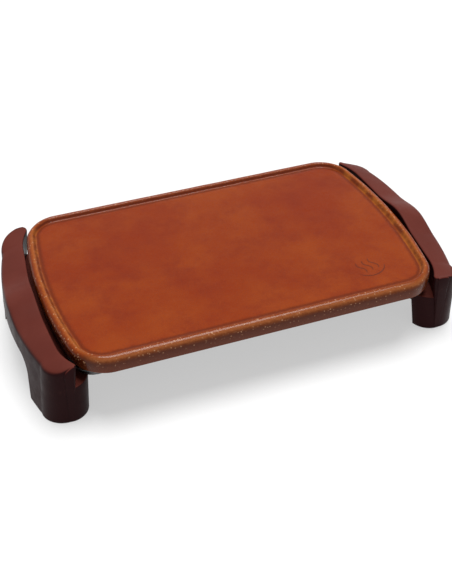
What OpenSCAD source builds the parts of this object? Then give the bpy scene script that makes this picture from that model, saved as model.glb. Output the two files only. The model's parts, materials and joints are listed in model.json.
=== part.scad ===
// Table-top electric griddle: a glazed terracotta cooking plate lies on a steel pan that
// holds a tubular heating element, between two moulded ends that are both handles and legs.
// Millimetres, +Z up, +X to the right-hand end. The origin is on the table, under the middle.

/* [Cooking plate] */
// Length of the plate over its bowed ends
plate_l = 460; // [452:2:464]
// Width of the plate
plate_w = 300; // [294:2:306]
// Radius of the plate's corners in plan
plate_corner_r = 38; // [32:1:46]
// How far each end bows outwards
plate_bow = 18; // [14:1:22]
// Height of the plate's underside above the table
plate_z = 71.3; // [71.3:0.1:73]
// Height of the plate's wall below its rounded edge
plate_wall = 13.5; // [11:0.5:17]
// Height of the cooking surface above the underside
plate_floor = 17.5; // [15:0.5:20]
// Height of the rim's crest above the underside
plate_crest = 21.5; // [20:0.5:26]
// Distance from the plate's edge to the crest
crest_inset = 7.5; // [6:0.5:10]
// Distance from the plate's edge to the cooking surface
floor_inset = 13; // [12:0.5:18]

/* [Moulded ends] */
// Distance from the middle to an end's outer edge, at the top
end_x = 267; // [265:1:275]
// Plan radius of the outer edge
end_r = 413; // [390:5:450]
// Outward lean of the outer wall, per millimetre of height
end_lean = 0.065; // [0:0.005:0.09]
// Length of the handle's top
handle_l = 276; // [272:2:284]
// Height of the handle's outer edge
outer_edge_z = 76; // [74:1:80]
// Height of the handle's inner edge
inner_edge_z = 85; // [82:1:88]
// How much higher the outer edge stands at the front tip of the right-hand end
tip_rise = 9; // [0:1:9]
// Height of the hump in the middle of the handle
hump_h = 7; // [0:0.5:10]
// Length of the hump
hump_l = 100; // [80:2:120]
// Wall thickness of the mouldings
wall = 3; // [2.4:0.1:3.4]
// Half of the arch's width at the table
arch_half_w = 77; // [74:1:80]
// Radius of the arch's upper corners
arch_r = 22; // [12:1:26]

/* [Legs] */
// Radius of a leg's nose at the table
nose_r = 26; // [24:0.5:28]
// Height of the ledge that carries the pan
ledge_z = 51.6; // [51.2:0.1:52]
// Diameter of a rubber foot
foot_d = 16; // [12:1:18]

/* [Heating] */
// Diameter of the heating element's sheath
tube_d = 6.6; // [6:0.2:7]
// Distance between the two contact pins
pin_pitch = 28; // [26:1:30]
// Diameter of a contact pin
pin_d = 4.8; // [4:0.1:5]
// Bore of the thermostat probe's sleeve
sleeve_bore = 6.4; // [6:0.1:6.6]

/* [Hidden] */
PAD_NAMES = ["plate_pad_front_left", "plate_pad_front_right",
  "plate_pad_rear_left", "plate_pad_rear_right"];
FOOT_NAMES = ["foot_front_left", "foot_front_right", "foot_rear_left", "foot_rear_right"];
$fn = 48;
SIDES = [-1, 1];
CORNERS = [[-1, -1], [1, -1], [-1, 1], [1, 1]];   // front left, front right, rear left, rear right
eps = 0.5;                                        // how far a cut runs past the face it opens
fit_gap = 0.2;                                    // clearance between parts that meet

terracotta = [0.55, 0.22, 0.10];
maroon = [0.29, 0.16, 0.15];
enamel = [0.10, 0.10, 0.11];
steel = [0.62, 0.62, 0.64];
sheath = [0.25, 0.24, 0.24];
rubber = [0.08, 0.08, 0.08];
ceramic = [0.85, 0.82, 0.74];

// ---- a solid from a run of closed sections ----

function flat(lists) = [for (l = lists) each l];

// Joins sections of equal length with a skin of triangles, and closes both ends
module loft(sections) {
  n = len(sections[0]);
  last = (len(sections) - 1) * n;
  skin = [for (k = [0 : len(sections) - 2], i = [0 : n - 1])
    let (j = (i + 1) % n, a = k * n, b = a + n)
    each [[a + i, b + i, b + j], [a + i, b + j, a + j]]];
  first_cap = [for (i = [1 : n - 2]) [0, i, i + 1]];
  last_cap = [for (i = [1 : n - 2]) [last, last + i + 1, last + i]];
  polyhedron(points = flat(sections), faces = concat(skin, first_cap, last_cap), convexity = 8);
}

function corner_arc(cx, cy, r, start, steps) =
  [for (i = [0 : steps]) let (a = start + 90 * i / steps) [cx + r * cos(a), cy + r * sin(a)]];

function round_rect(half_l, half_w, r, steps) = concat(
  corner_arc(half_l - r, half_w - r, r, 0, steps),
  corner_arc(r - half_l, half_w - r, r, 90, steps),
  corner_arc(r - half_l, r - half_w, r, 180, steps),
  corner_arc(half_l - r, r - half_w, r, 270, steps));

function at_z(outline, z) = [for (p = outline) [p[0], p[1], z]];

module rounded_slab(half_l, half_w, r, z, h) translate([0, 0, z]) linear_extrude(h) {
  square([2 * half_l - 2 * r, 2 * half_w], center = true);
  square([2 * half_l, 2 * half_w - 2 * r], center = true);
  for (c = CORNERS) translate([c[0] * (half_l - r), c[1] * (half_w - r)]) circle(r);
}

small_head_d = 5.6;
small_head_h = 1.8;

module screw(d, head_d, head_h, shank) {
  cylinder(d = d, h = shank);
  translate([0, 0, -head_h]) cylinder(d = head_d, h = head_h);
}

// ---- cooking plate ----

plate_arc_steps = 8;
plate_side_steps = 8;
plate_draft = 1.5;     // the wall leans in by this much at the underside
ring_half_l = 209;     // the foot ring under the plate drops inside the pan's rim
ring_half_w = 126;
ring_r = 24;
ring_w = 6;
ring_h = 2.6;

// The short sides are parabolas: each x shrinks with the square of y
function bowed(p) = [p[0] * (1 - plate_bow / (plate_l / 2) * pow(p[1] / (plate_w / 2), 2)), p[1]];

function side_points(x, from_y, to_y) =
  [for (i = [1 : plate_side_steps - 1]) [x, from_y + (to_y - from_y) * i / plate_side_steps]];

function plate_outline(inset) =
  let (hl = plate_l / 2 - inset, hw = plate_w / 2 - inset, r = plate_corner_r - inset)
  [for (p = concat(
    corner_arc(hl - r, hw - r, r, 0, plate_arc_steps),
    corner_arc(r - hl, hw - r, r, 90, plate_arc_steps),
    side_points(-hl, hw - r, r - hw),
    corner_arc(r - hl, r - hw, r, 180, plate_arc_steps),
    corner_arc(hl - r, r - hw, r, 270, plate_arc_steps),
    side_points(hl, r - hw, hw - r))) bowed(p)];

// The wall rounds over to the crest, then an S-curve drops to the cooking surface
function plate_rings() = concat(
  [at_z(plate_outline(plate_draft), plate_z)],
  [for (a = [0 : 18 : 90]) at_z(plate_outline(crest_inset * (1 - cos(a))),
    plate_z + plate_wall + (plate_crest - plate_wall) * sin(a))],
  [for (t = [0.25 : 0.25 : 1]) at_z(plate_outline(crest_inset + (floor_inset - crest_inset) * t),
    plate_z + plate_floor + (plate_crest - plate_floor) * (1 + cos(180 * t)) / 2)]);

module foot_ring() difference() {
  rounded_slab(ring_half_l, ring_half_w, ring_r, plate_z - ring_h, ring_h + eps);
  rounded_slab(ring_half_l - ring_w, ring_half_w - ring_w, ring_r - ring_w,
    plate_z - ring_h - eps, ring_h + 3 * eps);
}

module griddle_plate() color(terracotta) {
  loft(plate_rings());
  foot_ring();
}

// ---- pan, reflector and plate pads ----

sheet = 0.8;
pan_half_l = 212;
pan_half_w = 122;
rim_half_l = 213;
rim_half_w = 130;
pan_r = 20;
rim_r = 22;
flange_w = 7;
flange_z = plate_z - 2.3;              // underside of the pan's flange
flange_top = flange_z + sheet;
pan_floor_z = ledge_z + sheet;
pan_arc_steps = 6;
pan_screw_x = 207;
pan_screw_y = 104;
pan_screw_d = 4;
pan_screw_l = 14;
pan_head_d = 7.6;
pan_head_h = 2.2;
reflector_half = [186, 112];
reflector_t = 0.5;
floor_top = pan_floor_z + reflector_t;
rivet_x = 105;
rivet_y = 104;
rivet_d = 3.2;
leg_x = 192;                           // where the element's ends go down through the pan
leg_y = pin_pitch / 2;
pad_x = 120;
pad_y = rim_half_w + flange_w / 2;
pad_size = [18, 6, plate_z - flange_top];

function pan_outline(half_l, half_w, r, z) = at_z(round_rect(half_l, half_w, r, pan_arc_steps), z);

function pan_rings() = [
  pan_outline(pan_half_l, pan_half_w, pan_r, ledge_z),
  pan_outline(rim_half_l, rim_half_w, rim_r, flange_z),
  pan_outline(rim_half_l + flange_w, rim_half_w + flange_w, rim_r + flange_w, flange_z),
  pan_outline(rim_half_l + flange_w, rim_half_w + flange_w, rim_r + flange_w, flange_top),
  pan_outline(rim_half_l - sheet, rim_half_w - sheet, rim_r - sheet, flange_top),
  pan_outline(pan_half_l - sheet, pan_half_w - sheet, pan_r - sheet, pan_floor_z)];

module at_corners(x, y) for (c = CORNERS) translate([c[0] * x, c[1] * y]) children();
module at_pan_screws() at_corners(pan_screw_x, pan_screw_y) children();
module at_rivets() at_corners(rivet_x, rivet_y) children();

module floor_hole(d, z, h) translate([0, 0, z - eps]) cylinder(d = d, h = h + 2 * eps);

module base_pan() color(enamel) difference() {
  loft(pan_rings());
  at_pan_screws() floor_hole(pan_screw_d + 2 * fit_gap, ledge_z, sheet);
  at_rivets() floor_hole(rivet_d, ledge_z, sheet);
  for (y = SIDES) translate([leg_x, y * leg_y]) floor_hole(tube_d + 3, ledge_z, sheet);
}

module heat_reflector() color(steel) difference() {
  rounded_slab(reflector_half[0], reflector_half[1], pan_r, pan_floor_z, reflector_t);
  at_rivets() floor_hole(rivet_d, pan_floor_z, reflector_t);
}

module plate_pad(c) color(rubber) translate([c[0] * pad_x, c[1] * pad_y, flange_top])
  translate([-pad_size[0] / 2, -pad_size[1] / 2]) cube(pad_size);

module pan_screws() color(steel) at_pan_screws() translate([0, 0, pan_floor_z]) mirror([0, 0, 1])
  screw(pan_screw_d, pan_head_d, pan_head_h, pan_screw_l);

// ---- heating element and what holds it ----

tube_r = tube_d / 2;
tube_z = 62.5;
outer_pass_y = 90;
inner_pass_y = 35;
left_turn_x = -150;
right_turn_x = 130;
bend_r = 12;
turn_r = (outer_pass_y - inner_pass_y) / 2;
pin_z = 29.5;
sheath_end_x = 212;

// A straight run along one axis, from p to q
module tube(p, q) translate(p) rotate(q[1] != p[1] ? [-90, 0, 0] : q[0] != p[0] ? [0, 90, 0] : [0, 0, 0])
  cylinder(d = tube_d, h = norm(q - p));

module tube_bend(r, angle) rotate_extrude(angle = angle) translate([r, 0]) circle(d = tube_d);

// The element is symmetrical about the XZ plane; this is its rear half
module element_half() {
  translate([right_turn_x, 0, tube_z]) tube_bend(inner_pass_y, 90);
  tube([left_turn_x, inner_pass_y, tube_z], [right_turn_x, inner_pass_y, tube_z]);
  translate([left_turn_x, inner_pass_y + turn_r, tube_z]) rotate(90) tube_bend(turn_r, 180);
  tube([left_turn_x, outer_pass_y, tube_z], [leg_x - bend_r, outer_pass_y, tube_z]);
  translate([leg_x - bend_r, outer_pass_y - bend_r, tube_z]) tube_bend(bend_r, 90);
  tube([leg_x, leg_y + bend_r, tube_z], [leg_x, outer_pass_y - bend_r, tube_z]);
  translate([leg_x, leg_y + bend_r, tube_z - bend_r]) rotate([0, -90, 180]) tube_bend(bend_r, 90);
  tube([leg_x, leg_y, pin_z + bend_r], [leg_x, leg_y, tube_z - bend_r]);
  translate([leg_x + bend_r, leg_y, pin_z + bend_r]) rotate([90, 0, 0]) rotate(180) tube_bend(bend_r, 90);
  tube([leg_x + bend_r, leg_y, pin_z], [sheath_end_x, leg_y, pin_z]);
}

module heating_element() color(sheath) {
  element_half();
  mirror([0, 1, 0]) element_half();
}

bracket_w = 14;
bracket_t = 1;
bracket_top = tube_z - tube_r;
bracket_half_l = 98;
bracket_foot = 12;
clip_t = 0.8;
clip_w = 7;
clip_foot = 4;
rivet_head = 1.2;

// A strip under the tubes, with a leg and a foot at each end
module element_bracket(side) color(steel) translate([side * rivet_x, 0]) difference() {
  union() {
    translate([-bracket_w / 2, -bracket_half_l, bracket_top - bracket_t])
      cube([bracket_w, 2 * bracket_half_l, bracket_t]);
    for (y = SIDES) mirror([0, y < 0 ? 1 : 0, 0]) {
      translate([-bracket_w / 2, bracket_half_l - bracket_t, floor_top])
        cube([bracket_w, bracket_t, bracket_top - floor_top]);
      translate([-bracket_w / 2, bracket_half_l - bracket_t, floor_top])
        cube([bracket_w, bracket_foot, bracket_t]);
    }
  }
  for (y = SIDES) translate([0, y * rivet_y]) floor_hole(rivet_d, floor_top, bracket_t);
}

// A saddle over one tube, with a foot on the bracket at each side
module clip() {
  translate([-clip_w / 2, 0, tube_z]) rotate([0, 90, 0]) linear_extrude(clip_w) difference() {
    union() {
      circle(tube_r + clip_t);
      translate([0, -tube_r - clip_t]) square([tube_r, 2 * (tube_r + clip_t)]);
      translate([tube_r - clip_t, -tube_r - clip_foot]) square([clip_t, 2 * (tube_r + clip_foot)]);
    }
    circle(tube_r);
    translate([0, -tube_r]) square([2 * tube_r, 2 * tube_r]);
    translate([tube_r, -2 * tube_d]) square([tube_d, 4 * tube_d]);
  }
}

module element_clips() color(steel)
  for (x = SIDES, y = [-outer_pass_y, -inner_pass_y, inner_pass_y, outer_pass_y])
    translate([x * rivet_x, y]) clip();

module bracket_rivets() color(steel) at_rivets() {
  translate([0, 0, ledge_z]) cylinder(d = rivet_d, h = floor_top + bracket_t - ledge_z);
  translate([0, 0, ledge_z - rivet_head]) cylinder(d = 2 * rivet_d, h = rivet_head);
  translate([0, 0, floor_top + bracket_t]) cylinder(d = 2 * rivet_d, h = rivet_head);
}

// ---- moulded ends: the right-hand one is drawn, and the left is the same part turned round ----

foot_gap = 0.8;                    // the rubber feet stand this much proud of the shell
mid_steps = 8;
arc_steps = 5;
inner_mid_x = 234.5;               // the handle's inner edge: a shallow curve that hooks in at its tips
inner_r = 1250;
hook = 11;
hook_y = 100;
hook_l = 36;
tip_l = 26;
top_arc = [handle_l / 2 - tip_l, tip_l];   // where the tip's rounding starts, and its length, at the top
base_arc = [106, tip_l];           // and at the table
tip_x = 232;                       // where the tip's rounding ends
inner_rise = 2;                    // the inner edge rises less than the outer edge at the raised tip
base_inner_x = 226;                // the inner wall's foot at the tip
shoulder = 3;                      // rounding of the inner tip

// A station runs from -2 to 2 along the end: up to 1 it is on the long curve, beyond 1 round the tip
stations = [for (k = [-mid_steps - arc_steps : mid_steps + arc_steps])
  abs(k) <= mid_steps ? k / mid_steps : sign(k) * (1 + (abs(k) - mid_steps) / arc_steps)];

function station_y(u, arc, t) =
  abs(u) <= 1 ? u * arc[0] : sign(u) * (arc[0] + (arc[1] - t) * sin(90 * (abs(u) - 1)));

function outer_x(u, mid_x, arc, t) =
  let (end = mid_x - t - pow(arc[0], 2) / (2 * end_r))
  abs(u) <= 1 ? mid_x - t - pow(u * arc[0], 2) / (2 * end_r) : tip_x + (end - tip_x) * cos(90 * (abs(u) - 1));

function curve_x(y) = inner_mid_x - pow(y, 2) / (2 * inner_r);

function inner_x(y) = curve_x(y) - hook * pow(max(0, (abs(y) - hook_y) / hook_l), 2);

function hump(y) = abs(y) < hump_l / 2 ? hump_h * (1 + cos(360 * y / hump_l)) / 2 : 0;

// Cross-sections along the end: inner foot, inner edge, outer edge and outer foot
function end_sections(t, base_z) = [for (u = stations)
  let (yt = station_y(u, top_arc, t), yb = station_y(u, base_arc, t), lift = hump(yt) - t,
    base_x = end_x + end_lean * outer_edge_z, tip = max(0, abs(u) - 1), front_tip = max(0, -u - 1),
    curl = (base_inner_x - curve_x(base_arc[0] + base_arc[1])) * tip)
  [[curve_x(yb) + curl + t, yb, base_z],
   [inner_x(yt) + t + (tip > 0.9 ? shoulder : 0), yt, inner_edge_z + inner_rise * front_tip + lift],
   [outer_x(u, end_x, top_arc, t), yt, outer_edge_z + tip_rise * front_tip + lift],
   [outer_x(u, base_x, base_arc, t), yb, base_z]]];

arch_lean = 4;                     // each jamb leans in by this much
arch_z = ledge_z - 0.6;
arch_steps = 6;
arch_x = [187, 287];               // how far the cut reaches, along X

module arch_cut() translate([arch_x[1], 0, 0]) rotate([90, 0, -90]) linear_extrude(arch_x[1] - arch_x[0])
  let (cy = arch_half_w - arch_lean - arch_r, cz = arch_z - arch_r)
  polygon(concat(
    [[arch_half_w, 0]],
    corner_arc(cy, cz, arch_r, 0, arch_steps),
    corner_arc(-cy, cz, arch_r, 90, arch_steps),
    [[-arch_half_w, 0]]));

ledge_t = 3.6;
ledge_in_x = 200;
ledge_half_l = 112;
nose_x = 230;
nose_y = 106;
nose_foot_r = nose_r - 0.6;
nose_top_r = nose_r + 3;
web = [[206, 114], [242, 84]];     // the leg's inner web runs slanting between these
leg_in_x = 190;
leg_out_y = 150;
boss_r = 4.5;
post_z = ledge_z - 18;             // underside of the posts that take the pan's screws
post_h = 16;
lug_boss_h = 5;
foot_at = [242, 102];
foot_boss_r = 5;
foot_h = 3;
stem_d = 5;
stem_l = 8;
cover_screw_at = [251, 55];
cover_z = [arch_z, arch_z + 2.4];
cover_half_l = 72;
cover_screw_d = 3;
cover_screw_l = 12;
inlet_screw_at = [226, 34];
inlet_screw_d = 3;
inlet_screw_l = 10;

// A cone, cut off on its inner side by the web, and smaller all round by t
module nose(z, h, t) intersection() {
  translate([nose_x, nose_y, z]) cylinder(r1 = nose_foot_r - t, r2 = nose_top_r - t, h = h);
  linear_extrude(ledge_z + eps) translate([0, t]) polygon([
    [leg_in_x, web[0][1]], web[0], web[1], [web[1][0], leg_out_y], [leg_in_x, leg_out_y]]);
}

// The part of a leg that stands inwards of the handle, under the ledge
module inner_leg() difference() {
  nose(foot_gap, ledge_z - foot_gap, 0);
  translate([0, 0, -eps]) nose(foot_gap - eps, ledge_z - ledge_t + eps - foot_gap, wall);
}

module ledge() translate([0, 0, ledge_z - ledge_t]) linear_extrude(ledge_t) polygon(concat(
  [[ledge_in_x, -ledge_half_l]],
  [for (k = [-6 : 6]) let (y = k * ledge_half_l / 6) [curve_x(y) + wall, y]],
  [[ledge_in_x, ledge_half_l]]));

// Height of the sloping top over a point
function top_z(p) =
  let (in_x = inner_x(p[1]), out_x = outer_x(p[1] / top_arc[0], end_x, top_arc, 0))
  inner_edge_z - (inner_edge_z - outer_edge_z) * (p[0] - in_x) / (out_x - in_x);

boss_top_gap = 2.6;                // a boss ends this far below the sloping top, inside its wall

module hanging_boss(p, r, z) translate([p[0], p[1], z]) cylinder(r = r, h = top_z(p) - boss_top_gap - z);

module blind_hole(p, d, z, depth) translate([p[0], p[1], z - eps]) cylinder(d = d, h = depth + eps);

module end_half_details() {
  inner_leg();
  hanging_boss(foot_at, foot_boss_r, foot_h);
  hanging_boss(cover_screw_at, boss_r, cover_z[1]);
  translate([pan_screw_x, pan_screw_y, post_z]) cylinder(r = boss_r, h = post_h);
  translate([inlet_screw_at[0], inlet_screw_at[1], ledge_z - eps]) cylinder(r = boss_r - 1, h = lug_boss_h);
}

module end_half_holes() {
  blind_hole(foot_at, stem_d + 2 * fit_gap, foot_h, stem_l + 1);
  blind_hole(cover_screw_at, cover_screw_d, cover_z[1], cover_screw_l);
  blind_hole([pan_screw_x, pan_screw_y], pan_screw_d, post_z, ledge_z - post_z + eps);
  blind_hole(inlet_screw_at, inlet_screw_d, ledge_z - ledge_t, inlet_screw_l - 1);
}

module end_shell() color(maroon) difference() {
  union() {
    difference() {
      loft(end_sections(0, foot_gap));
      loft(end_sections(wall, foot_gap - 1));
      arch_cut();
    }
    ledge();
    end_half_details();
    mirror([0, 1, 0]) end_half_details();
  }
  end_half_holes();
  mirror([0, 1, 0]) end_half_holes();
}

cover_steps = 6;
cover_mid_x = end_x + end_lean * (outer_edge_z - cover_z[1]) - wall - 2 * fit_gap;
cover_ys = [for (k = [-cover_steps : cover_steps]) k * cover_half_l / cover_steps];

module at_cover_screws() for (y = SIDES) translate([cover_screw_at[0], y * cover_screw_at[1]]) children();

// Closes the hollow handle from below, between the legs
module grip_cover() color(maroon) difference() {
  translate([0, 0, cover_z[0]]) linear_extrude(cover_z[1] - cover_z[0]) polygon(concat(
    [for (y = cover_ys) [cover_mid_x - pow(y, 2) / (2 * end_r), y]],
    [for (y = cover_ys) [curve_x(y) + wall + 2 * fit_gap, -y]]));
  at_cover_screws() floor_hole(cover_screw_d + 2 * fit_gap, cover_z[0], cover_z[1] - cover_z[0]);
}

module cover_screws() color(steel) for (turn = [0, 180]) rotate(turn)
  at_cover_screws() translate([0, 0, cover_z[0]])
    screw(cover_screw_d, small_head_d, small_head_h, cover_screw_l);

module foot(c) color(rubber) translate([c[0] * foot_at[0], c[1] * foot_at[1]]) {
  cylinder(d = foot_d, h = foot_h);
  translate([0, 0, foot_h - eps]) cylinder(d = stem_d, h = stem_l + eps);
}

// ---- inlet for the plug-in thermostat, under the right-hand handle ----

housing_x = [208, 238];
housing_half_w = 27;
housing_z = [21, ledge_z - ledge_t];
housing_t = 2.5;
lug_t = 3;
lug_half_w = 40;
lug_half_l = 5;
insulator_l = 5;
insulator_d = 8;
pin_root_d = 4;                    // a pin is thinner where it sits in its insulator
pin_root_l = insulator_l + 0.5;
pin_end_x = 236;
sleeve_z = 40.5;
sleeve_x = [150, 230];
sleeve_d = 8;

module along_x(x0, x1, y, z, d) translate([x0, y, z]) rotate([0, 90, 0]) cylinder(d = d, h = x1 - x0);

module inlet_housing() color(enamel) difference() {
  union() {
    translate([housing_x[0], -housing_half_w, housing_z[0]])
      cube([housing_x[1] - housing_x[0], 2 * housing_half_w, housing_z[1] - housing_z[0]]);
    translate([inlet_screw_at[0] - lug_half_l, -lug_half_w, housing_z[1] - lug_t])
      cube([2 * lug_half_l, 2 * lug_half_w, lug_t]);
  }
  translate([housing_x[0] + housing_t, housing_t - housing_half_w, housing_z[0] + housing_t])
    cube([housing_x[1] - housing_x[0], 2 * (housing_half_w - housing_t),
      housing_z[1] - housing_z[0] - 2 * housing_t]);
  for (y = SIDES) {
    along_x(housing_x[0] - eps, housing_x[0] + housing_t + eps, y * leg_y, pin_z, tube_d + 2 * fit_gap);
    translate([inlet_screw_at[0], y * inlet_screw_at[1]])
      floor_hole(inlet_screw_d + 2 * fit_gap, housing_z[1] - lug_t, lug_t);
  }
  along_x(housing_x[0] - eps, housing_x[0] + housing_t + eps, 0, sleeve_z, sleeve_d + fit_gap);
}

module contact_pin(side) color(steel) {
  along_x(sheath_end_x, sheath_end_x + pin_root_l + eps, side * leg_y, pin_z, pin_root_d);
  along_x(sheath_end_x + pin_root_l, pin_end_x, side * leg_y, pin_z, pin_d);
}

module pin_insulator(side) color(ceramic) difference() {
  along_x(sheath_end_x, sheath_end_x + insulator_l, side * leg_y, pin_z, insulator_d);
  along_x(sheath_end_x - eps, sheath_end_x + insulator_l + eps, side * leg_y, pin_z, pin_root_d);
}

module probe_sleeve() color(steel) difference() {
  along_x(sleeve_x[0], sleeve_x[1], 0, sleeve_z, sleeve_d);
  along_x(sleeve_x[0] - eps, sleeve_x[1] + eps, 0, sleeve_z, sleeve_bore);
}

holder_x = sleeve_x[0] + 15;
holder_half_l = 5;
holder_half_w = 10;
holder_t = 1;

// A ring on a neck, whose foot is welded under the pan
module probe_bracket() color(steel) translate([holder_x, 0]) difference() {
  union() {
    along_x(-holder_half_l, holder_half_l, 0, sleeve_z, sleeve_d + 2 * holder_t);
    translate([-holder_half_l, -holder_t, sleeve_z])
      cube([2 * holder_half_l, 2 * holder_t, ledge_z - sleeve_z]);
    translate([-holder_half_l, -holder_half_w, ledge_z - holder_t])
      cube([2 * holder_half_l, 2 * holder_half_w, holder_t]);
  }
  along_x(-holder_half_l - eps, holder_half_l + eps, 0, sleeve_z, sleeve_d);
}

module inlet_screws() color(steel) for (y = SIDES)
  translate([inlet_screw_at[0], y * inlet_screw_at[1], housing_z[1] - lug_t])
    screw(inlet_screw_d, small_head_d, small_head_h, inlet_screw_l);

griddle_plate();
for (i = [0 : 3]) plate_pad(CORNERS[i]);
base_pan();
heat_reflector();
heating_element();
element_bracket(-1);  // element_bracket_left
element_bracket(1);  // element_bracket_right
element_clips();
bracket_rivets();
rotate(180) end_shell();  // left_end_shell
end_shell();  // right_end_shell
rotate(180) grip_cover();  // left_grip_cover
grip_cover();  // right_grip_cover
for (i = [0 : 3]) foot(CORNERS[i]);
pan_screws();
cover_screws();
inlet_housing();
contact_pin(-1);  // contact_pin_front
contact_pin(1);  // contact_pin_rear
pin_insulator(-1);  // pin_insulator_front
pin_insulator(1);  // pin_insulator_rear
probe_sleeve();
probe_bracket();
inlet_screws();
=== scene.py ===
"""Looks of the table-top electric griddle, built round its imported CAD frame.

Lengths are in millimetres and are turned into metres where a mesh is made.
"""

import json
import math

import bmesh
import bpy
from mathutils import Matrix, Vector, noise


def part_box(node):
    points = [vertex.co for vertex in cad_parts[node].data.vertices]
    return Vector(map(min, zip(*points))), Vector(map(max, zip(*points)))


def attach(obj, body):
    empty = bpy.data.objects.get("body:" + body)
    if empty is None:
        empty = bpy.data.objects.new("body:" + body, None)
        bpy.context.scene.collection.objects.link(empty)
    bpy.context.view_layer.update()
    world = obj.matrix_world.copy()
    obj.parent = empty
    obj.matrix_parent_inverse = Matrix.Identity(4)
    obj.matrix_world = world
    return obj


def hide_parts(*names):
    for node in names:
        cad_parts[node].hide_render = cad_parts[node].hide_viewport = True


MM = 0.001
SKY = 0.45                         # strength of the even light from all round
SUN = 4.2                          # strength of the soft overhead light
STUDIO_LIGHT = SKY + SUN / math.pi

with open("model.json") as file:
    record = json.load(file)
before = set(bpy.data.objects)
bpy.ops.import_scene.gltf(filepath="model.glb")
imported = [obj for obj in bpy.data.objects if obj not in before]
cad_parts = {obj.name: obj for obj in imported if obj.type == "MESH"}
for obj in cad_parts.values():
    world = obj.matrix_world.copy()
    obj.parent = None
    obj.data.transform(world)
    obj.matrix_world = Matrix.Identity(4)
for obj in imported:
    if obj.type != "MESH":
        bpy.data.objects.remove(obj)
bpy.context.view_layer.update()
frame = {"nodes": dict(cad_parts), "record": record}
nodes = frame["nodes"]


def box_mm(node):
    """Lowest and highest corner of a CAD node, in millimetres."""
    low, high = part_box(node)
    return low / MM, high / MM


# ---- helpers for meshes ----


def rounded_corner(before, corner, after, radius, steps):
    """Points of a curve that rounds off a corner of a line through three points."""
    start = corner + (before - corner).normalized() * radius
    end = corner + (after - corner).normalized() * radius
    points = []
    for k in range(steps + 1):
        t = k / steps
        points.append(start * (1 - t) ** 2 + corner * 2 * t * (1 - t) + end * t**2)
    return points


def corner_arc(cx, cy, radius, start_deg, steps):
    points = []
    for k in range(steps + 1):
        a = math.radians(start_deg + 90 * k / steps)
        points.append((cx + radius * math.cos(a), cy + radius * math.sin(a)))
    return points


def between(start, end, steps):
    """Points strictly between two plan points."""
    points = []
    for k in range(1, steps):
        t = k / steps
        points.append((start[0] + (end[0] - start[0]) * t, start[1] + (end[1] - start[1]) * t))
    return points


def lofted(name, rings, close_ends=True):
    """A mesh object through closed rings of points that all have the same length."""
    count = len(rings[0])
    vertices = [Vector(p) * MM for ring in rings for p in ring]
    faces = []
    for r in range(len(rings) - 1):
        for i in range(count):
            j = (i + 1) % count
            low, high = r * count, (r + 1) * count
            faces.append((low + i, low + j, high + j, high + i))
    if close_ends:
        last = (len(rings) - 1) * count
        faces.append(tuple(reversed(range(count))))
        faces.append(tuple(range(last, last + count)))
    mesh = bpy.data.meshes.new(name)
    mesh.from_pydata(vertices, [], faces)
    mesh.validate()
    shape = bpy.data.objects.new(name, mesh)
    bpy.context.scene.collection.objects.link(shape)
    outward(shape)
    return shape


def outward(shape):
    work = bmesh.new()
    work.from_mesh(shape.data)
    bmesh.ops.recalc_face_normals(work, faces=work.faces)
    work.to_mesh(shape.data)
    work.free()


def prism(name, outline, low, high):
    """A straight prism over a plan outline, between two heights."""
    return lofted(name, [[(x, y, z) for x, y in outline] for z in (low, high)])


def apply_modifiers(shape):
    """Replaces the object's mesh with the one its modifiers make."""
    depsgraph = bpy.context.evaluated_depsgraph_get()
    made = bpy.data.meshes.new_from_object(shape.evaluated_get(depsgraph))
    shape.modifiers.clear()
    shape.data = made


def boolean(shape, other, operation):
    """Cuts other from shape, or adds it, and removes other."""
    step = shape.modifiers.new(operation, "BOOLEAN")
    step.operation = operation
    step.solver = "MANIFOLD"
    step.object = other
    apply_modifiers(shape)
    bpy.data.objects.remove(other)


def joined(shape, others):
    """Adds the meshes of others to shape, and removes them."""
    work = bmesh.new()
    work.from_mesh(shape.data)
    for other in others:
        work.from_mesh(other.data)
    work.to_mesh(shape.data)
    work.free()
    for other in others:
        bpy.data.objects.remove(other)


def smooth(shape, angle_deg):
    """Smooth shading, with sharp edges where faces meet at more than the angle."""
    shape.data.shade_smooth()
    shape.data.set_sharp_from_angle(angle=math.radians(angle_deg))


# ---- helpers for materials ----


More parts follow.
